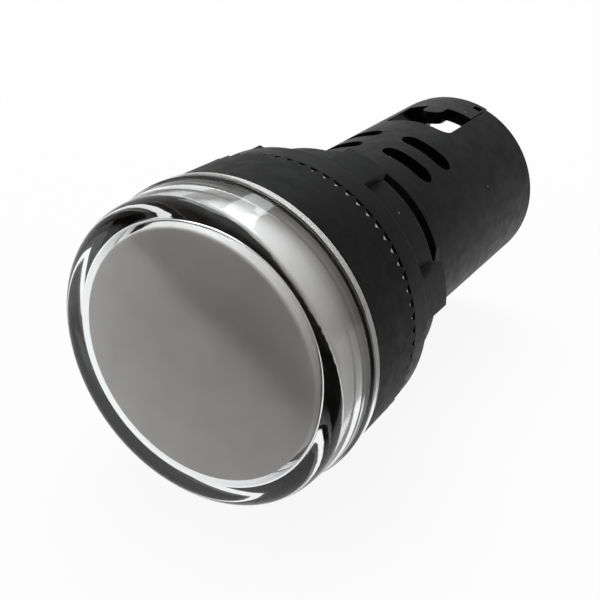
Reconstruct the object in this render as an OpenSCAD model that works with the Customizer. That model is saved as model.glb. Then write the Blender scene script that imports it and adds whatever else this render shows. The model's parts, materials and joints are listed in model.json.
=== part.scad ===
// Panel pilot light for a 22.5 mm panel hole.
// Each piece is drawn on a local z axis, and stand() lays it along Y:
// height z above the front of the panel becomes -Y, and local y becomes +Z.
// z = 0 is the seat on the panel, the lens is above it and the barrel below.

/* [Lens] */
// How far the side of the lens stands in from the edge of the flange
lens_inset = 0; // [0:0.05:0.5]
// How much smaller the lens radius is at its front edge
lens_draft = 0.25; // [0:0.05:0.5]
// Height of the lens above the flange
lens_h = 6.5; // [5:0.1:9]
// Wall of the lens, front and side
lens_wall = 1.5; // [1.1:0.1:1.6]
// Rounding of the front edge
lens_edge_r = 1.4; // [0.6:0.1:1.5]
// How far the rim of the lens stands proud of its side
lens_rim_proud = 0.2; // [0.1:0.05:0.4]
// Height of the rim of the lens
lens_rim_h = 0.9; // [0.5:0.1:1.5]
// Depth of the skirt that drops into the flange
lens_skirt_h = 2.6; // [1.5:0.1:3]
// Wall of the skirt
lens_skirt_wall = 0.9; // [0.6:0.05:1]

/* [Diffuser] */
// Gap between the milky drum and the skirt of the lens
diffuser_gap = 0.1; // [0:0.05:0.4]
// How much narrower the drum is at its front
diffuser_draft = 0.8; // [0.2:0.1:1.5]
// Wall of the drum
diffuser_wall = 0.9; // [0.6:0.1:1.2]

/* [Flange] */
// Radius of the flange at its front
flange_r = 14.3; // [13:0.05:18]
// How much narrower the flange is at the serrated lip
flange_draft = 0.15; // [0:0.05:0.4]
// Wall of the flange outside the skirt of the lens
flange_wall = 0.9; // [0.7:0.05:1.2]
// Height of the flange above the panel
flange_h = 7.8; // [7:0.1:10]
// Number of serrations round the lip
teeth = 72; // [36:2:90]
// Depth of a serration
tooth_depth = 0.8; // [0.4:0.1:0.9]
// Thickness of the lip that carries the serrations
lip_wall = 0.25; // [0.2:0.01:0.4]
// Height of the lip over the floor of the seal recess
lip_h = 0.6; // [0.4:0.05:0.8]
// Thickness of the seal ring
seal_h = 1; // [0.85:0.05:1.4]

/* [Barrel] */
// Crest radius of the M22 thread
thread_crest_r = 10.9; // [10.8:0.01:13.1]
// Depth of the M22 thread
thread_depth = 0.8; // [0.6:0.05:0.95]
// Pitch of the thread
thread_pitch = 1.5; // [1:0.25:2]
// Width of the plain land at each end of the thread
land_h = 0.7; // [0.5:0.05:1]
// Length of the barrel behind the panel, thread included
barrel_h = 12.2; // [9:0.1:16]
// Depth of the two flats on the thread
flat_depth = 0.55; // [0.3:0.05:0.7]
// How far the tail stands in from the crest of the thread
tail_step = 0.75; // [0.7:0.05:0.95]
// Length from the panel to the end of the tail
tail_end = 38.4; // [36:0.1:46]
// Wall of the tail
tail_wall = 1.25; // [1:0.05:1.4]

/* [Vent slots] */
// Width of a vent slot along the axis
vent_w = 2.2; // [1.4:0.1:2.4]
// Distance of the first row of vents behind the panel
vent_first = 17.25; // [15:0.05:18]
// Distance between the two rows
vent_step = 4.4; // [3.6:0.1:4.6]
// Angle from the terminal plane to the near end of a vent
vent_from = 7; // [5:0.5:10]
// Angle from the terminal plane to the far end of a vent
vent_to = 41; // [25:1:55]

/* [Fixing nut] */
// Width of the plain base of the nut outside the thread
nut_base_w = 2.96; // [2.2:0.02:3.6]
// Height of the plain base
nut_base_h = 2.4; // [1.5:0.1:3]
// Height of the whole nut
nut_h = 7.5; // [5:0.1:9]
// Wall of the nut between the grips
nut_wall = 1.5; // [1.1:0.1:2]
// How far a grip stands out from the wall of the nut
nut_grip_h = 1.2; // [0.6:0.1:1.5]
// Width of a grip
nut_grip_w = 4.1; // [2.5:0.1:5]
// Radial clearance of the nut over the thread crest
nut_clearance = 0.08; // [0.04:0.01:0.1]

/* [Wire windows] */
// Half width of a wire window
window_x = 3.85; // [3.4:0.05:4]
// Length of a wire window along the axis
window_l = 6.6; // [5.5:0.05:8]
// Corner radius at the front of a window
window_corner_r = 1.1; // [0.5:0.1:1.5]
// Length of the guard finger
finger_l = 2.3; // [1.5:0.05:2.8]
// Width of the guard finger
finger_w = 2.3; // [1.5:0.1:2.6]

/* [Terminals] */
// Distance of each terminal screw from the axis
screw_y = 5; // [4.6:0.05:5.1]
// Radius of the screw thread
screw_r = 1.5; // [1.25:0.05:1.6]
// Radius of the screw head
screw_head_r = 2.75; // [2.3:0.05:3.3]
// Height of the screw head
screw_head_h = 2; // [1.4:0.1:2.2]
// Length of the screw under its head
screw_l = 6; // [4.5:0.1:7.2]
// Clearance of the well round a screw head
well_gap = 0.7; // [0.3:0.05:0.8]
// Thickness of the terminal plate
plate_t = 1; // [0.8:0.05:1.2]
// Half width of the terminal plate
plate_x = 3; // [2.6:0.05:3.1]
// Thickness of the clamp washer
washer_t = 0.9; // [0.6:0.05:1.1]
// How much narrower the clamp washer is than the plate, each side
washer_inset = 0.15; // [0.1:0.05:0.4]
// Thickness of the terminal carrier under the plates
carrier_h = 2.7; // [2:0.1:3]
// Thickness of the barrier between the terminals
barrier_t = 1.6; // [1:0.1:1.8]
// Thickness of the rear wall of the cap
cap_wall = 2.2; // [1.4:0.1:2.6]
// Height of the tongue of the cap, from the end of the tail to the window
tongue_h = 4.6; // [3.6:0.1:5.6]

/* [Circuit boards] */
// Thickness of the round LED board
led_board_t = 1.2; // [0.8:0.1:1.6]
// Number of LEDs
leds = 6; // [3:1:6]
// Radius of the circle of LEDs
led_circle_r = 6.5; // [6:0.1:7]
// Radius of an LED dome
led_r = 2.4; // [1.5:0.1:2.5]
// Height of an LED over the board
led_h = 4.8; // [3.2:0.1:5.2]
// Thickness of the driver board
board_t = 1.6; // [1:0.1:1.6]
// Distance of the component face of the driver board from the axis
board_x = 2.8; // [2.6:0.1:3]
// Gap between the edges of the driver board and the ledge in the bore
board_gap = 0.12; // [0.05:0.01:0.8]

/* [Hidden] */
$fn = 64;

// Clearances
fit_gap = 0.05;
joint_gap = 0.15;
past = 1;
plate_sill = 0.2;

// Front: heights over the panel
lens_top = flange_h + lens_h;
lens_inside = lens_top - lens_wall;
lens_r = flange_r - lens_inset;
skirt_end = flange_h - lens_skirt_h;
skirt_r = flange_r - flange_wall;
skirt_inner_r = skirt_r - lens_skirt_wall;
diffuser_rear_r = skirt_inner_r - diffuser_gap;
diffuser_front_r = diffuser_rear_r - diffuser_draft;
board_pocket_r = skirt_inner_r - 0.5;
led_board_top = skirt_end - 0.4;
led_board_under = led_board_top - led_board_t;
flange_rear_r = flange_r - flange_draft;
seal_recess_r = flange_rear_r - lip_wall;
lip_end = seal_h - lip_h;

// Barrel and nut: radii that follow the crest of the thread
thread_root_r = thread_crest_r - thread_depth;
flat_x = thread_crest_r - flat_depth;
tail_r = thread_crest_r - tail_step;
bore_r = tail_r - tail_wall;
ledge_r = bore_r - 0.6;
nut_base_r = thread_crest_r + nut_base_w;
nut_wall_r = thread_crest_r + nut_wall;
nut_grip_r = nut_wall_r + nut_grip_h;

// Thread: whole turns between the two plain lands
thread_turns = floor((barrel_h - 2 * land_h) / thread_pitch);
thread_from = -(barrel_h - thread_turns * thread_pitch - land_h);
crest_h = thread_pitch / 8;
flank_h = (thread_pitch - crest_h - thread_pitch / 4) / 2;

// Rear: the windows are placed from the end of the tail, and each seat is the face that the
// next piece rests on, going backwards
window_rear = tail_end - tongue_h;
window_front = window_rear - window_l;
finger_tip = window_rear - finger_l;
washer_seat = -(window_front + plate_sill);
plate_seat = washer_seat + plate_t;
head_seat = washer_seat - washer_t;
carrier_front = plate_seat + carrier_h;
cap_inside = -(tail_end - cap_wall);
cap_r = bore_r - fit_gap;
washer_x = plate_x - washer_inset;
well_r = screw_head_r + well_gap;
board_end = carrier_front + 0.3;
board_y = sqrt(pow(ledge_r - board_gap, 2) - pow(board_x + board_t, 2));
smoothing_end = -11.9;

// Arranging
module stand() rotate([90, 0, 0]) children();
module half_turn(side) rotate([0, 0, side * 180]) children();
module other_side(side) mirror([0, side, 0]) children();
module ring_of(count) for (i = [0:count - 1]) rotate([0, 0, i * 360 / count]) children();

// Cylinder and block between two bounds, the lower one first
module disc(r, from, to) translate([0, 0, from]) cylinder(r = r, h = to - from);
module block(x, y, z) translate([x[0], y[0], z[0]]) cube([x[1] - x[0], y[1] - y[0], z[1] - z[0]]);

// Raises an outline in x and z out of the tail, from the radius given to past its surface
module out_of_tail(from) translate([0, tail_r + past, 0]) rotate([90, 0, 0])
    linear_extrude(tail_r + past - from) children();

module lens_section() {
    front_r = lens_r - lens_draft;
    edge_z = lens_top - lens_edge_r;
    difference() {
        union() {
            polygon([[0, flange_h], [lens_r, flange_h], [front_r, edge_z], [0, edge_z]]);
            translate([0, edge_z - fit_gap]) square([front_r - lens_edge_r, lens_edge_r + fit_gap]);
            translate([front_r - lens_edge_r, edge_z]) circle(r = lens_edge_r);
            translate([0, flange_h]) square([lens_r + lens_rim_proud, lens_rim_h]);
            translate([0, skirt_end]) square([skirt_r, lens_skirt_h + lens_rim_h]);
        }
        polygon([
            [-past, skirt_end - past], [skirt_inner_r, skirt_end - past],
            [skirt_inner_r, flange_h], [skirt_inner_r - lens_draft, lens_inside],
            [-past, lens_inside]
        ]);
    }
}

module lens() {
    color([0.86, 0.89, 0.93]) stand() rotate_extrude() lens_section();
}

module diffuser() {
    color("white") stand() rotate_extrude() polygon([
        [0, lens_inside], [diffuser_front_r, lens_inside], [diffuser_rear_r, skirt_end],
        [diffuser_rear_r - diffuser_wall, skirt_end],
        [diffuser_front_r - diffuser_wall, lens_inside - diffuser_wall],
        [0, lens_inside - diffuser_wall]
    ]);
}

// Outer line of the thread: each turn goes from crest to root and back
function thread_line() = [
    for (i = [0:thread_turns - 1], p = [
        [thread_crest_r, crest_h / 2],
        [thread_root_r, crest_h / 2 + flank_h],
        [thread_root_r, thread_pitch - crest_h / 2 - flank_h],
        [thread_crest_r, thread_pitch - crest_h / 2]
    ]) [p[0], thread_from - i * thread_pitch - p[1]]
];

module housing_section() {
    edge = 0.3;
    land_edge = 0.15;
    ledge_back = carrier_front + 1;
    polygon(concat(
        [
            [bore_r, led_board_under], [board_pocket_r, led_board_under],
            [board_pocket_r, skirt_end], [skirt_r + fit_gap, skirt_end],
            [skirt_r + fit_gap, flange_h], [flange_r - edge, flange_h],
            [flange_r, flange_h - edge], [flange_rear_r, seal_h], [flange_rear_r, lip_end],
            [seal_recess_r, lip_end], [seal_recess_r, seal_h], [thread_crest_r, seal_h]
        ],
        thread_line(),
        [
            [thread_crest_r, -barrel_h + land_edge], [thread_crest_r - land_edge, -barrel_h],
            [tail_r, -barrel_h], [tail_r, -tail_end + edge], [tail_r - edge, -tail_end],
            [bore_r, -tail_end], [bore_r, carrier_front], [ledge_r, carrier_front],
            [ledge_r, ledge_back], [bore_r, ledge_back + bore_r - ledge_r]
        ]
    ));
}

// Notch between two serrations, open to the rear
module serration() {
    half = 0.92 * PI * flange_rear_r / teeth;
    translate([flange_rear_r - 2 * lip_wall, 0, lip_end]) rotate([90, 0, 90])
        linear_extrude(3 * lip_wall)
            polygon([[-half, -fit_gap], [half, -fit_gap], [half, 0], [0, tooth_depth], [-half, 0]]);
}

// Outline of a vent: a slot with round ends, seen along the terminal axis
module vent_outline() {
    r = vent_w / 2;
    x = [tail_r * sin(vent_from) + r, tail_r * sin(vent_to) - r];
    translate([x[0], -r]) square([x[1] - x[0], vent_w]);
    for (end = x) translate([end, 0]) circle(r = r);
}

module window_outline() {
    length = tail_end - window_front + past;
    inner_x = window_x - window_corner_r;
    translate([-window_x, -window_front - length]) square([2 * window_x, length - window_corner_r]);
    translate([-inner_x, -window_front - length]) square([2 * inner_x, length]);
    for (x = [-inner_x, inner_x]) translate([x, -window_front - window_corner_r])
        circle(r = window_corner_r);
}

// Flange, threaded barrel and tail, moulded in one
module housing() {
    color([0.13, 0.14, 0.14]) stand() difference() {
        rotate_extrude() housing_section();
        for (x = [-1, 1]) translate([x * (flat_x + past), 0, (thread_from - barrel_h) / 2])
            cube([2 * past, 2 * tail_r, barrel_h + thread_from], center = true);
        ring_of(teeth) serration();
        for (side = [0, 1], row = [0, 1], hand = [0, 1]) half_turn(side)
            translate([0, 0, -(vent_first + row * vent_step)]) mirror([hand, 0, 0])
                out_of_tail(bore_r / 2) vent_outline();
        for (side = [0, 1]) half_turn(side) out_of_tail(bore_r - 2) window_outline();
    }
}

module seal_ring() {
    color([0.8, 0.84, 0.84]) stand() difference() {
        disc(seal_recess_r - fit_gap / 2, 0, seal_h);
        disc(thread_crest_r + fit_gap, -past, seal_h + past);
    }
}

module nut_outline() {
    circle(r = nut_wall_r);
    intersection() {
        circle(r = nut_grip_r);
        ring_of(3) square([nut_grip_w, 2 * nut_grip_r + past], center = true);
    }
}

module fixing_nut() {
    nut_bore_r = thread_crest_r + nut_clearance;
    lead = 0.5;
    edge = 0.4;
    grip_angle = -20.5;
    color([0.14, 0.15, 0.15]) stand() difference() {
        union() {
            disc(nut_base_r, -nut_base_h, 0);
            intersection() {
                translate([0, 0, -nut_h]) rotate([0, 0, grip_angle]) linear_extrude(nut_h) nut_outline();
                rotate_extrude() polygon([
                    [0, -nut_h], [nut_grip_r - edge, -nut_h], [nut_grip_r + past, -nut_h + edge + past],
                    [nut_grip_r + past, 0], [0, 0]
                ]);
            }
        }
        disc(nut_bore_r, -nut_h - past, past);
        translate([0, 0, -nut_h - fit_gap]) cylinder(r1 = nut_bore_r + lead, r2 = nut_bore_r, h = lead);
    }
}

// Tongue of the cap, which closes the rear of a wire window, with its guard finger
module tongue_outline() {
    half = window_x - joint_gap;
    finger_x = -0.35;
    finger_end = -finger_tip - finger_w / 2;
    translate([-half, -tail_end]) square([2 * half, tail_end - window_rear]);
    translate([finger_x - finger_w / 2, -window_rear - fit_gap])
        square([finger_w, finger_end + window_rear + fit_gap]);
    translate([finger_x, finger_end]) circle(r = finger_w / 2);
}

module rear_cap() {
    catch = [0.9, 0.9, 1];
    catch_at = [2.6, tail_r - 0.9, -tail_end + 0.7];
    color([0.12, 0.13, 0.13]) stand() difference() {
        union() {
            disc(cap_r, -tail_end, cap_inside);
            for (side = [0, 1]) half_turn(side) intersection() {
                difference() {
                    disc(tail_r, -tail_end, -finger_tip);
                    disc(cap_r - fit_gap, cap_inside, 0);
                }
                out_of_tail(bore_r - 2) tongue_outline();
            }
        }
        for (side = [0, 1]) half_turn(side) {
            translate([0, screw_y, 0]) disc(well_r, -tail_end - past, cap_inside + past);
            translate(catch_at) cube(catch);
        }
    }
}

module led_legs(r, to) {
    for (y = [-1.27, 1.27]) translate([led_circle_r, y, 0]) disc(r, led_board_under - 0.9, to);
}

module link_pin_pair(r) {
    for (y = [-2.5, 2.5]) translate([-board_x + 0.32, y, 0]) disc(r, -past, led_board_top + 0.7);
}

module led_board() {
    color([0.9, 0.92, 0.9]) stand() difference() {
        disc(board_pocket_r - fit_gap, led_board_under, led_board_top);
        ring_of(leds) led_legs(0.38, led_board_top + past);
        link_pin_pair(0.42);
    }
}

module led(index) {
    rim = 0.3;
    color([0.93, 0.95, 0.97]) stand() rotate([0, 0, index * 360 / leds]) {
        translate([led_circle_r, 0, led_board_top]) rotate_extrude() intersection() {
            union() {
                square([led_r + rim, 0.9]);
                square([led_r, led_h - led_r]);
                translate([0, led_h - led_r]) circle(r = led_r);
            }
            square([led_r + rim, led_h]);
        }
        led_legs(0.25, led_board_top + 0.2);
    }
}

module link_pins() {
    color([0.85, 0.75, 0.4]) stand() link_pin_pair(0.32);
}

module driver_board() {
    x = [-board_x - board_t, -board_x];
    tab_y = 4;
    color([0.12, 0.35, 0.18]) stand() {
        block(x, [-tab_y, tab_y], [-past, led_board_under]);
        block(x, [-board_y, board_y], [board_end, 0]);
    }
}

module film_capacitor() {
    z = [head_seat + screw_l + 0.3, smoothing_end - 1.1];
    color([0.55, 0.57, 0.6]) stand() block([-board_x, -board_x + 7], [-4.5, 4.5], z);
}

module smoothing_capacitor() {
    r = 3.15;
    top = smoothing_end + 10.4;
    color([0.1, 0.11, 0.16]) stand() translate([-board_x + r, -3.4, 0]) difference() {
        disc(r, smoothing_end, top);
        translate([0, 0, top - 1.6]) rotate_extrude() translate([r + 0.25, 0]) circle(r = 0.5);
    }
}

module rectifier() {
    x = [-board_x - board_t - 2.5, -board_x - board_t];
    color([0.1, 0.1, 0.1]) stand() block(x, [-3.2, 3.2], [-13, -5]);
}

// Axial resistor lying on the driver board: a body with swollen ends and two bent leads
module resistor(r, length, from, y) {
    lead_r = 0.3;
    lead_out = 1;
    swell_h = 0.22 * length;
    translate([-board_x + r, y, from]) {
        cylinder(r = r * 0.88, h = length);
        cylinder(r = r, h = swell_h);
        translate([0, 0, length - swell_h]) cylinder(r = r, h = swell_h);
        translate([0, 0, -lead_out]) cylinder(r = lead_r, h = length + 2 * lead_out);
        for (z = [-lead_out, length + lead_out]) translate([-r, 0, z]) rotate([0, 90, 0])
            cylinder(r = lead_r, h = r + lead_r);
    }
}

module series_resistor() {
    color([0.45, 0.5, 0.55]) stand() resistor(1.7, 9, -11, 3.6);
}

module bleed_resistor() {
    color([0.7, 0.6, 0.45]) stand() resistor(1.1, 5.5, -17.9, 5.7);
}

// Solder tail of a terminal plate, flat on the driver board; grown by a clearance for its slot
module solder_tail(grow, from, to) {
    block([-board_x - grow, -board_x + 0.8 + grow], [screw_y + 0.6 - grow, screw_y + 1.8 + grow], [from, to]);
}

module terminal_carrier() {
    barrier_x = sqrt(pow(cap_r, 2) - pow(barrier_t / 2, 2)) - joint_gap;
    rib_inner_x = max(plate_x, screw_head_r) + 0.1;
    rib_x = [rib_inner_x, rib_inner_x + 0.9];
    color([0.16, 0.17, 0.17]) stand() difference() {
        union() {
            disc(cap_r, plate_seat, carrier_front);
            block([-barrier_x, barrier_x], [-barrier_t / 2, barrier_t / 2], [cap_inside, carrier_front]);
            for (side = [0, 1], hand = [0, 1]) other_side(side) mirror([hand, 0, 0])
                block(rib_x, [0, screw_y + 2.4], [head_seat - 0.5, carrier_front]);
        }
        for (side = [0, 1]) other_side(side) {
            translate([0, screw_y, 0]) disc(screw_r + 0.25, plate_seat - past, carrier_front + past);
            solder_tail(0.1, washer_seat, carrier_front + past);
        }
    }
}

module terminal_plate(side) {
    color([0.78, 0.66, 0.36]) stand() other_side(side) difference() {
        union() {
            block([-plate_x, plate_x], [barrier_t / 2 + 0.4, screw_y + 2.8], [washer_seat, plate_seat]);
            solder_tail(0, washer_seat, board_end + 1.6);
        }
        translate([0, screw_y, 0]) disc(screw_r + 0.05, washer_seat - past, plate_seat + past);
    }
}

module clamp_washer(side) {
    color([0.75, 0.76, 0.77]) stand() other_side(side) translate([0, screw_y, 0]) difference() {
        block([-washer_x, washer_x], [-washer_x, washer_x], [head_seat, washer_seat]);
        disc(screw_r + 0.1, head_seat - past, washer_seat + past);
    }
}

module terminal_screw(side) {
    head_edge_r = 0.6;
    recess = [3.4, 0.8, 1.1];
    head_end = head_seat - screw_head_h;
    color([0.7, 0.71, 0.73]) stand() other_side(side) translate([0, screw_y, 0]) difference() {
        union() {
            disc(screw_r, head_seat - fit_gap, head_seat + screw_l);
            disc(screw_head_r, head_end + head_edge_r, head_seat);
            disc(screw_head_r - head_edge_r, head_end, head_seat);
            translate([0, 0, head_end + head_edge_r]) rotate_extrude()
                translate([screw_head_r - head_edge_r, 0]) circle(r = head_edge_r);
        }
        for (turn = [0, 90]) rotate([0, 0, turn]) translate([0, 0, head_end])
            cube([recess[0], recess[1], 2 * recess[2]], center = true);
    }
}

lens();
diffuser();
housing();
seal_ring();
fixing_nut();
rear_cap();
led_board();
for (i = [1:leds]) led(i - 1);
driver_board();
link_pins();
film_capacitor();
smoothing_capacitor();
rectifier();
series_resistor();
bleed_resistor();
terminal_carrier();
for (side = [0, 1]) {
    letter = ["a", "b"][side];
    terminal_plate(side);
    clamp_washer(side);
    terminal_screw(side);
}
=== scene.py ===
"""Panel pilot light: materials, fine pieces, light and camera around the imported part. Sizes are in metres."""

import json
import math

import bmesh
import bpy
from mathutils import Matrix, Vector


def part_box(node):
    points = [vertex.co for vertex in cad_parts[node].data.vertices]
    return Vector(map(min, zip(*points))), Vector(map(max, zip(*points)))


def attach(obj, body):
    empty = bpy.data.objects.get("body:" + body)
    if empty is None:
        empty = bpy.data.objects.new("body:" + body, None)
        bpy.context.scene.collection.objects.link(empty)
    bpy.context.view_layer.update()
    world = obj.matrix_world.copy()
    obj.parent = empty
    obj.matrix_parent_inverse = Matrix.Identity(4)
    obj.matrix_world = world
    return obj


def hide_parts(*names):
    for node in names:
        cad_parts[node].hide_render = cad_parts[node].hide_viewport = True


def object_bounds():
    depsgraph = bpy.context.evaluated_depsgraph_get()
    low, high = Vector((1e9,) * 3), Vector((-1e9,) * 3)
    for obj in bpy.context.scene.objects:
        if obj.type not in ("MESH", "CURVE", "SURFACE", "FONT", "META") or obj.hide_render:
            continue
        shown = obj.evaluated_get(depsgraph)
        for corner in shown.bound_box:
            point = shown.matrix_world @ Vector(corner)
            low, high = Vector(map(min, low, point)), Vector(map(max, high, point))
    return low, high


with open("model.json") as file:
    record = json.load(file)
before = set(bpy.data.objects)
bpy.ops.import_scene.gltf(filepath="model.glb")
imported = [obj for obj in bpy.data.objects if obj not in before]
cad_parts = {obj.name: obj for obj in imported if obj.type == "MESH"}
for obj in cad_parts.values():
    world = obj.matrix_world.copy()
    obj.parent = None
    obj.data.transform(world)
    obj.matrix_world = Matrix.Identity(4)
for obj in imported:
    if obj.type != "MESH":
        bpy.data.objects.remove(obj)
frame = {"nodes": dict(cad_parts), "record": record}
cad_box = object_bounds()
scene = bpy.context.scene
MM = 0.001


# ---------------------------------------------------------------- camera
EYE = Vector((47.584, -76.644, 44.981)) * MM
AIM = Vector((0.80, 2.22, -0.82)) * MM
ROLL = math.radians(1.341)
LENS = 64.93
SENSOR = 36.0

camera_data = bpy.data.cameras.new("camera")
camera_data.lens = LENS
camera_data.sensor_width = SENSOR
camera_data.clip_start = 0.005
camera = bpy.data.objects.new("camera", camera_data)
camera.matrix_world = (
    Matrix.Translation(EYE)
    @ (AIM - EYE).to_track_quat("-Z", "Y").to_matrix().to_4x4()
    @ Matrix.Rotation(ROLL, 4, "Z")
)
scene.collection.objects.link(camera)
scene.camera = camera
scene.view_settings.view_transform = "Standard"


# ---------------------------------------------------------------- node building
class Shader:
    """Builds a node tree: add() makes a node from its settings and its inputs, each a value or another socket."""

    def __init__(self, owner):
        owner.use_nodes = True
        self.tree = owner.node_tree
        self.tree.nodes.clear()

    def add(self, kind, inputs=None, **settings):
        node = self.tree.nodes.new("ShaderNode" + kind)
        for name, value in settings.items():
            setattr(node, name, value)
        for key, value in (inputs or {}).items():
            socket = node.inputs[key]
            if isinstance(value, bpy.types.Node):
                value = value.outputs[0]
            if isinstance(value, bpy.types.NodeSocket):
                self.tree.links.new(value, socket)
            else:
                socket.default_value = value
        return node

    def math(self, operation, a, b=0.0, clamp=False):
        return self.add("Math", {0: a, 1: b}, operation=operation, use_clamp=clamp)

    def ramp(self, value, low, high, to_low=0.0, to_high=1.0, smooth=True):
        return self.add(
            "MapRange",
            {"Value": value, "From Min": low, "From Max": high, "To Min": to_low, "To Max": to_high},
            interpolation_type="SMOOTHSTEP" if smooth else "LINEAR",
        )

    def mix(self, factor, a, b):
        node = self.add("Mix", data_type="RGBA")
        for socket, value in ((node.inputs[0], factor), (node.inputs[6], a), (node.inputs[7], b)):
            if isinstance(value, bpy.types.Node):
                value = value.outputs[0]
            if isinstance(value, bpy.types.NodeSocket):
                self.tree.links.new(value, socket)
            else:
                socket.default_value = value
        return node.outputs[2]

    def noise(self, scale, detail=4.0, roughness=0.55, distortion=0.0, vector=None):
        return self.add(
            "TexNoise",
            {
                "Vector": vector or self.coords(),
                "Scale": scale,
                "Detail": detail,
                "Roughness": roughness,
                "Distortion": distortion,
            },
        ).outputs[0]

    def coords(self):
        if not hasattr(self, "_coords"):
            self._coords = self.add("TexCoord").outputs["Object"]
        return self._coords

    def finish(self, surface):
        self.add("OutputMaterial", {"Surface": surface})


def rgb(r, g, b):
    return (r, g, b, 1.0)


def material(name):
    return bpy.data.materials.new(name)


# ---------------------------------------------------------------- materials
EDGE_SOFTNESS = 0.12 * MM
BLEND = 0.4 * MM


def black_plastic(name, grain, rough, shine=0.07, flange=False, dust=True):
    """Moulded black polyamide with a spark-eroded grain; edges are softened and painted lighter as a highlight."""
    mat = material(name)
    s = Shader(mat)
    soft = s.add("Bevel", {"Radius": EDGE_SOFTNESS}, samples=6)
    normal = s.add("NewGeometry").outputs["Normal"]
    facing = s.add("VectorMath", {0: soft, 1: normal}, operation="DOT_PRODUCT")
    highlight_edge = s.ramp(facing.outputs["Value"], 0.99, 0.80)
    cloud = s.noise(160.0, 5.0)
    fine = s.noise(2600.0, 6.0, 0.65)
    colour = s.mix(s.ramp(cloud, 0.35, 0.68), rgb(0.0036, 0.0039, 0.0040), rgb(0.0066, 0.0069, 0.0069))
    # Painted highlight: the colour turns lighter along the softened edges, broken up by noise, to stand in for
    # light catching the edges.
    colour = s.mix(s.math("MULTIPLY", highlight_edge, s.ramp(s.noise(900.0), 0.4, 0.7)), colour, rgb(0.018, 0.019, 0.020))
    if dust:
        cells = s.add("TexVoronoi", {"Vector": s.coords(), "Scale": 420.0, "Randomness": 1.0})
        speck = s.ramp(cells.outputs["Distance"], 0.065, 0.03)
        rare = s.ramp(s.add("TexWhiteNoise", {"Vector": cells.outputs["Position"]}).outputs["Value"], 0.90, 0.93)
        colour = s.mix(s.math("MULTIPLY", speck, rare), colour, rgb(0.16, 0.16, 0.16))
    roughness = s.ramp(s.noise(700.0, 5.0, 0.6), 0.25, 0.75, rough - 0.06, rough + 0.07)
    strength = grain
    if flange:
        # The flange is grained. The barrel and the tail behind the seat at Y = 0 are smoother.
        behind = s.add("SeparateXYZ", {0: s.coords()}).outputs["Y"]
        strength = s.ramp(behind, -BLEND, BLEND, grain, grain * 0.35)
        roughness = s.math("ADD", roughness, s.ramp(behind, -BLEND, BLEND, 0.0, -0.08))
    bump = s.add("Bump", {"Strength": strength, "Distance": 0.00006, "Height": fine, "Normal": soft})
    wave = s.add("Bump", {"Strength": 0.12, "Distance": 0.0002, "Height": s.noise(330.0, 2.0), "Normal": bump})
    s.finish(
        s.add(
            "BsdfPrincipled",
            {"Base Color": colour, "Roughness": roughness, "Normal": wave, "Specular IOR Level": shine},
        )
    )
    return mat


def clear_plastic(name, tint, rough, ior=1.49, wave=0.05, scratches=True):
    """Clear moulded plastic: shadow rays pass so that lamps light what is behind it."""
    mat = material(name)
    s = Shader(mat)
    flow = s.noise(210.0, 3.0, 0.5, 0.8)
    roughness = s.ramp(s.noise(500.0, 5.0, 0.6), 0.35, 0.8, rough, rough + 0.05)
    if scratches:
        turned = s.add("Mapping", {"Vector": s.coords(), "Rotation": (0.4, 0.7, 0.2), "Scale": (1.0, 9.0, 1.0)})
        line = s.ramp(s.noise(1500.0, 2.0, 0.4, 0.0, turned), 0.70, 0.74)
        roughness = s.math("ADD", roughness, s.math("MULTIPLY", line, 0.08))
    bump = s.add("Bump", {"Strength": wave, "Distance": 0.0004, "Height": flow})
    glass = s.add(
        "BsdfPrincipled",
        {
            "Base Color": tint,
            "Roughness": roughness,
            "IOR": ior,
            "Transmission Weight": 1.0,
            "Normal": bump,
        },
    )
    passing = s.add("BsdfTransparent", {"Color": rgb(0.93, 0.94, 0.95)})
    path = s.add("LightPath")
    s.finish(s.add("MixShader", {0: path.outputs["Is Shadow Ray"], 1: glass, 2: passing}))
    return mat


def milky_plastic(name):
    """Milky polycarbonate that scatters light inside itself."""
    mat = material(name)
    s = Shader(mat)
    cloud = s.noise(240.0, 4.0)
    colour = s.mix(s.ramp(cloud, 0.3, 0.7), rgb(0.72, 0.70, 0.675), rgb(0.79, 0.77, 0.745))
    roughness = s.ramp(s.noise(900.0, 4.0), 0.3, 0.7, 0.38, 0.5)
    bump = s.add("Bump", {"Strength": 0.08, "Distance": 0.0001, "Height": s.noise(2200.0, 4.0)})
    s.finish(
        s.add(
            "BsdfPrincipled",
            {
                "Base Color": colour,
                "Roughness": roughness,
                "Normal": bump,
                "Subsurface Weight": 0.4,
                "Subsurface Radius": (0.0008, 0.0008, 0.0008),
                "Subsurface Scale": 1.0,
            },
        )
    )
    return mat


def plain(name, low, high, rough, metal=0.0, grain=0.1, coat=0.0, scatter=0.0, stretch=None):
    """A noisy two-tone finish for boards, lacquers, cases, silicone and metals."""
    cloud, fine = 300.0, 3000.0
    mat = material(name)
    s = Shader(mat)
    place = s.coords()
    if stretch:
        place = s.add("Mapping", {"Vector": place, "Scale": stretch}).outputs[0]
    colour = s.mix(s.ramp(s.noise(cloud, 5.0, vector=place), 0.3, 0.7), low, high)
    roughness = s.ramp(s.noise(cloud * 2.5, 5.0, vector=place), 0.3, 0.7, rough - 0.06, rough + 0.08)
    soft = s.add("Bevel", {"Radius": 0.00008}, samples=4)
    bump = s.add(
        "Bump",
        {"Strength": grain, "Distance": 0.00005, "Height": s.noise(fine, 4.0, vector=place), "Normal": soft},
    )
    inputs = {
        "Base Color": colour,
        "Roughness": roughness,
        "Metallic": metal,
        "Normal": bump,
    }
    if coat:
        inputs["Coat Weight"] = coat
        inputs["Coat Roughness"] = 0.12
    if scatter:
        inputs["Subsurface Weight"] = scatter
        inputs["Subsurface Radius"] = (0.0009, 0.0009, 0.0009)
        inputs["Subsurface Scale"] = 1.0
    s.finish(s.add("BsdfPrincipled", inputs))
    return mat


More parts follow.
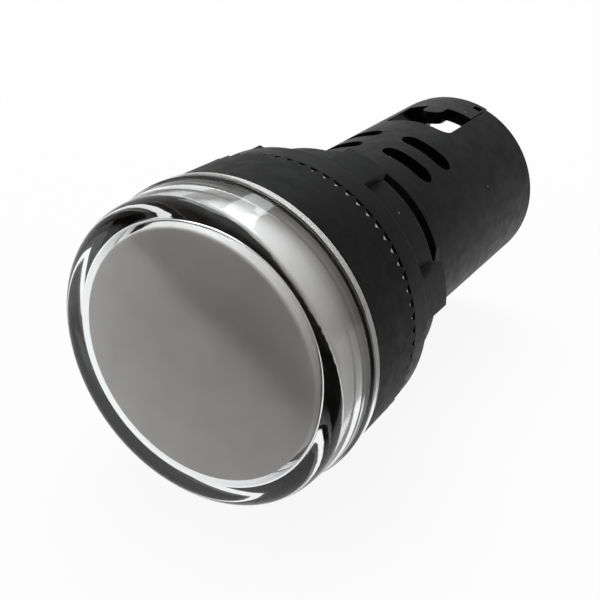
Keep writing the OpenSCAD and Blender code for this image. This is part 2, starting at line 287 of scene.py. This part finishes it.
FINISHES = {
    "clear_plastic": clear_plastic("clear_plastic", rgb(0.975, 0.985, 0.99), 0.015),
    "milky_plastic": milky_plastic("milky_plastic"),
    "silicone": plain("silicone", rgb(0.30, 0.31, 0.31), rgb(0.52, 0.53, 0.53), 0.22, coat=0.6, scatter=0.3),
    "white_board": plain("white_board", rgb(0.74, 0.76, 0.74), rgb(0.84, 0.85, 0.83), 0.35, grain=0.05),
    "led_epoxy": clear_plastic("led_epoxy", rgb(0.96, 0.97, 0.98), 0.02, 1.52, 0.02, False),
    "green_board": plain("green_board", rgb(0.020, 0.105, 0.045), rgb(0.035, 0.15, 0.07), 0.33, grain=0.15),
    "tinned_pins": plain("tinned_pins", rgb(0.68, 0.67, 0.63), rgb(0.80, 0.79, 0.76), 0.24, metal=1.0),
    "grey_case": plain("grey_case", rgb(0.25, 0.27, 0.30), rgb(0.33, 0.35, 0.38), 0.5),
    "dark_sleeve": plain("dark_sleeve", rgb(0.022, 0.025, 0.050), rgb(0.035, 0.038, 0.070), 0.3),
    "chip_case": plain("chip_case", rgb(0.016, 0.016, 0.016), rgb(0.026, 0.026, 0.026), 0.55, grain=0.2),
    "blue_lacquer": plain("blue_lacquer", rgb(0.13, 0.21, 0.28), rgb(0.18, 0.27, 0.34), 0.35, coat=0.4),
    "beige_lacquer": plain("beige_lacquer", rgb(0.48, 0.38, 0.24), rgb(0.56, 0.46, 0.31), 0.35, coat=0.4),
    "brass": plain("brass", rgb(0.70, 0.52, 0.22), rgb(0.80, 0.64, 0.33), 0.28, metal=1.0, stretch=(1, 1, 6)),
    "plated_steel": plain("plated_steel", rgb(0.55, 0.56, 0.57), rgb(0.68, 0.69, 0.70), 0.3, metal=1.0),
}
BLACK = {
    "housing": black_plastic("black_housing", 0.55, 0.50, flange=True),
    "fixing_nut": black_plastic("black_nut", 0.20, 0.40, 0.08),
    "rear_cap": black_plastic("black_cap", 0.25, 0.42, 0.10),
    "terminal_carrier": black_plastic("black_carrier", 0.30, 0.46, dust=False),
}
BONDED = plain("bonded_black", rgb(0.020, 0.021, 0.022), rgb(0.042, 0.043, 0.044), 0.5)

slots = {part["node"]: part["material_slot"] for part in frame["record"]["subparts"]}
for node, obj in frame["nodes"].items():
    finish = BLACK.get(node) or FINISHES[slots[node]]
    obj.data.materials.clear()
    obj.data.materials.append(finish)


# ---------------------------------------------------------------- turned pieces
TURN_STEPS = 256
SHARP = math.radians(40)


def turned(name, outline):
    """Turns a closed outline of (radius, y) points about the lamp's axis. Points of radius 0 close on the axis."""
    bm = bmesh.new()
    rings = []
    for radius, y in outline:
        if radius == 0:
            rings.append([bm.verts.new((0, y, 0))])
        else:
            rings.append(
                [
                    bm.verts.new((radius * math.sin(a), y, radius * math.cos(a)))
                    for a in (2 * math.pi * k / TURN_STEPS for k in range(TURN_STEPS))
                ]
            )
    pairs = list(zip(rings, rings[1:]))
    if outline[0][0] and outline[-1][0]:
        pairs.append((rings[-1], rings[0]))
    for one, two in pairs:
        for k in range(TURN_STEPS):
            corners = [one[k % len(one)], one[(k + 1) % len(one)]]
            corners += [two[(k + 1) % len(two)], two[k % len(two)]]
            corners = list(dict.fromkeys(corners))
            if len(corners) > 2:
                bm.faces.new(corners)
    bmesh.ops.recalc_face_normals(bm, faces=bm.faces)
    mesh = bpy.data.meshes.new(name)
    bm.to_mesh(mesh)
    bm.free()
    mesh.shade_smooth()
    mesh.set_sharp_from_angle(angle=SHARP)
    obj = bpy.data.objects.new(name, mesh)
    scene.collection.objects.link(obj)
    return obj


def rounded(points, radius_of, steps=6):
    """Rounds the corners of a line of points. radius_of gives each corner's radius, or 0 for a sharp one."""
    out = []
    for i, p in enumerate(points):
        r = radius_of[i]
        if not r or i in (0, len(points) - 1):
            out.append(tuple(p))
            continue
        here = Vector(p)
        before = (Vector(points[i - 1]) - here).normalized()
        after = (Vector(points[i + 1]) - here).normalized()
        half = before.angle(after) / 2
        reach = r / math.tan(half)
        centre = here + (before + after).normalized() * (r / math.sin(half))
        start, end = here + before * reach - centre, here + after * reach - centre
        swing = start.angle_signed(end)
        for k in range(steps + 1):
            turned_by = Matrix.Rotation(-swing * k / steps, 2)
            out.append(tuple(centre + turned_by @ start))
    return out


# Places come from the CAD boxes. The other sizes are set here: the rim is deeper than the CAD's, the drum's side
# is straight with a foot where the CAD's tapers, and the seal has a rounded outer edge.
# AIR keeps clear plastic off the faces that it would otherwise share with its neighbours.
AIR = 0.03 * MM
LENS_PROUD = 6.5 * MM
RIM_STEP = 0.2 * MM
LENS_DRAFT = 0.25 * MM
SKIRT_STEP = 0.9 * MM
SKIRT_WALL = 0.9 * MM

lens_low, lens_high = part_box("lens")
LENS_RIM_R = lens_high.x
LENS_FRONT = lens_low.y
SKIRT_END = lens_high.y
LENS_R = LENS_RIM_R - RIM_STEP
LENS_FRONT_R = LENS_R - LENS_DRAFT
FLANGE_FACE = LENS_FRONT + LENS_PROUD
RIM_H = 1.1 * MM
LENS_WALL = 1.5 * MM
SKIRT_R = LENS_R - SKIRT_STEP
SKIRT_INNER_R = SKIRT_R - SKIRT_WALL
EDGE_R = 1.4 * MM

lens_line = rounded(
    [
        (0, LENS_FRONT),
        (LENS_FRONT_R, LENS_FRONT),
        (LENS_R, FLANGE_FACE - RIM_H),
        (LENS_RIM_R, FLANGE_FACE - RIM_H),
        (LENS_RIM_R, FLANGE_FACE - AIR),
        (SKIRT_R, FLANGE_FACE - AIR),
        (SKIRT_R, SKIRT_END),
        (SKIRT_INNER_R, SKIRT_END),
        (SKIRT_INNER_R, FLANGE_FACE),
        (SKIRT_INNER_R - LENS_DRAFT, LENS_FRONT + LENS_WALL),
        (0, LENS_FRONT + LENS_WALL),
    ],
    [0, EDGE_R, 0.08 * MM, 0.12 * MM, 0.1 * MM, 0, 0.1 * MM, 0.1 * MM, 0, 0.25 * MM, 0],
    steps=8,
)
lens_cap = turned("lens_cap", lens_line)
lens_cap.data.materials.append(FINISHES["clear_plastic"])
lens_cap.data.materials.append(BONDED)
# The skirt is bonded into the flange with black, which shows through the clear front as a dark ring.
for face in lens_cap.data.polygons:
    face.material_index = int(face.center.y > FLANGE_FACE + AIR)

drum_low, drum_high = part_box("diffuser")
DRUM_FOOT = 0.8 * MM
DRUM_FRONT = drum_low.y + AIR
DRUM_REAR_R = drum_high.x
DRUM_FRONT_R = DRUM_REAR_R - DRUM_FOOT
DRUM_WALL = 0.9 * MM
drum_line = rounded(
    [
        (0, DRUM_FRONT),
        (DRUM_FRONT_R, DRUM_FRONT),
        (DRUM_FRONT_R, FLANGE_FACE + 0.3 * MM),
        (DRUM_REAR_R, FLANGE_FACE + 0.9 * MM),
        (DRUM_REAR_R, drum_high.y),
        (DRUM_REAR_R - DRUM_WALL, drum_high.y),
        (DRUM_REAR_R - DRUM_WALL, FLANGE_FACE + 1.2 * MM),
        (DRUM_FRONT_R - DRUM_WALL, FLANGE_FACE + 0.6 * MM),
        (DRUM_FRONT_R - DRUM_WALL, DRUM_FRONT + DRUM_WALL),
        (0, DRUM_FRONT + DRUM_WALL),
    ],
    [0, 0.25 * MM, 0.2 * MM, 0.2 * MM, 0.1 * MM, 0.1 * MM, 0, 0, 0.3 * MM, 0],
)
milky_drum = turned("milky_drum", drum_line)
milky_drum.data.materials.append(FINISHES["milky_plastic"])

seal_low, seal_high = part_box("seal_ring")
SEAL_R = seal_high.x
SEAL_INNER_R = min(math.hypot(v.co.x, v.co.z) for v in frame["nodes"]["seal_ring"].data.vertices)
BEAD = 0.42 * MM
SEAL_INSET = 0.10 * MM
seal_line = rounded(
    [
        (SEAL_INNER_R, seal_low.y),
        (SEAL_R - SEAL_INSET, seal_low.y),
        (SEAL_R - SEAL_INSET, seal_high.y),
        (SEAL_INNER_R, seal_high.y),
    ],
    [0, BEAD, BEAD, 0],
    steps=8,
)
seal_bead = turned("seal_bead", seal_line)
seal_bead.data.materials.append(FINISHES["silicone"])

for piece, node, slot in (
    (lens_cap, "lens", "clear_plastic"),
    (milky_drum, "diffuser", "milky_plastic"),
    (seal_bead, "seal_ring", "silicone"),
):
    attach(piece, "lamp")
    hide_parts(node)


# ---------------------------------------------------------------- studio
FRONT = Vector((0.519, -0.854, 0.0))
SHEET_EDGE = 27.2 * MM
SHEET_FEATHER = 4 * MM
FLOOR_SIZE = 4.0
WHITE_SHARE = 0.92
BACKDROP = 0.8

floor_mesh = bpy.data.meshes.new("floor")
bm = bmesh.new()
bmesh.ops.create_grid(bm, x_segments=1, y_segments=1, size=FLOOR_SIZE)
bm.to_mesh(floor_mesh)
bm.free()
floor = bpy.data.objects.new("floor", floor_mesh)
floor.location.z = cad_box[0].z
scene.collection.objects.link(floor)

ROOM = rgb(1.0, 0.90, 0.80)


def clear_view(s):
    """Two values: 1 for a camera ray, and 1 for a mirror or glass ray that has met nothing dull on its way."""
    path = s.add("LightPath")
    gloss = s.math("MAXIMUM", path.outputs["Is Glossy Ray"], path.outputs["Is Transmission Ray"])
    dull = s.math("LESS_THAN", path.outputs["Diffuse Depth"], 0.5)
    return path.outputs["Is Camera Ray"], s.math("MULTIPLY", gloss, dull)


floor_mat = material("floor")
s = Shader(floor_mat)
camera_ray, gloss_ray = clear_view(s)
ahead = s.add("VectorMath", {0: s.coords(), 1: tuple(FRONT)}, operation="DOT_PRODUCT").outputs["Value"]
near = s.ramp(ahead, SHEET_EDGE - SHEET_FEATHER, SHEET_EDGE + SHEET_FEATHER, 1.0, 0.0)
sheet = s.math("MAXIMUM", near, camera_ray)
tone = s.mix(sheet, rgb(0.07, 0.065, 0.06), rgb(0.86, 0.86, 0.86))
paper = s.add("BsdfDiffuse", {"Color": tone})
white = s.add("Emission", {"Color": rgb(1, 1, 1), "Strength": 1.0})
share = s.math("MAXIMUM", camera_ray, s.math("MULTIPLY", gloss_ray, near))
s.finish(s.add("MixShader", {0: s.math("MULTIPLY", share, WHITE_SHARE), 1: paper, 2: white}))
floor_mesh.materials.append(floor_mat)

world = bpy.data.worlds.new("studio")
scene.world = world
s = Shader(world)
camera_ray, gloss_ray = clear_view(s)
towards = s.add("TexCoord").outputs["Generated"]
front = s.add("VectorMath", {0: towards, 1: tuple(FRONT)}, operation="DOT_PRODUCT").outputs["Value"]
up = s.add("SeparateXYZ", {0: towards}).outputs["Z"]
backdrop = s.ramp(front, 0.1, -0.5, 0.0, 1.0)
top = s.ramp(up, 0.50, 0.92)
room = s.math("ADD", s.ramp(front, -0.2, 0.6, 0.30, 0.16), s.math("MULTIPLY", top, 0.5))
mirrored = s.math("MULTIPLY", s.math("MULTIPLY", backdrop, gloss_ray), BACKDROP)
glossy_room = s.math("MAXIMUM", room, mirrored)
strength = s.math("MAXIMUM", glossy_room, camera_ray)
colour = s.mix(s.math("MAXIMUM", camera_ray, s.math("MAXIMUM", backdrop, top)), ROOM, rgb(1, 1, 1))
s.add("OutputWorld", {"Surface": s.add("Background", {"Color": colour, "Strength": strength})})


def softbox(name, at, aim, width, height, power):
    data = bpy.data.lights.new(name, "AREA")
    data.shape = "RECTANGLE"
    data.size, data.size_y = width, height
    data.energy = power
    data.color = (0.95, 0.98, 1.0)
    lamp = bpy.data.objects.new(name, data)
    at = Vector(at)
    lamp.location = at
    lamp.rotation_mode = "QUATERNION"
    lamp.rotation_quaternion = (Vector(aim) - at).to_track_quat("-Z", "Y")
    scene.collection.objects.link(lamp)
    return lamp


CENTRE = (cad_box[0] + cad_box[1]) / 2
KEY_AT = (-0.12, 0.16, 0.42)
KEY_SIDE = 0.34
KEY_POWER = 1.3
softbox("key", KEY_AT, CENTRE, KEY_SIDE, KEY_SIDE, KEY_POWER)
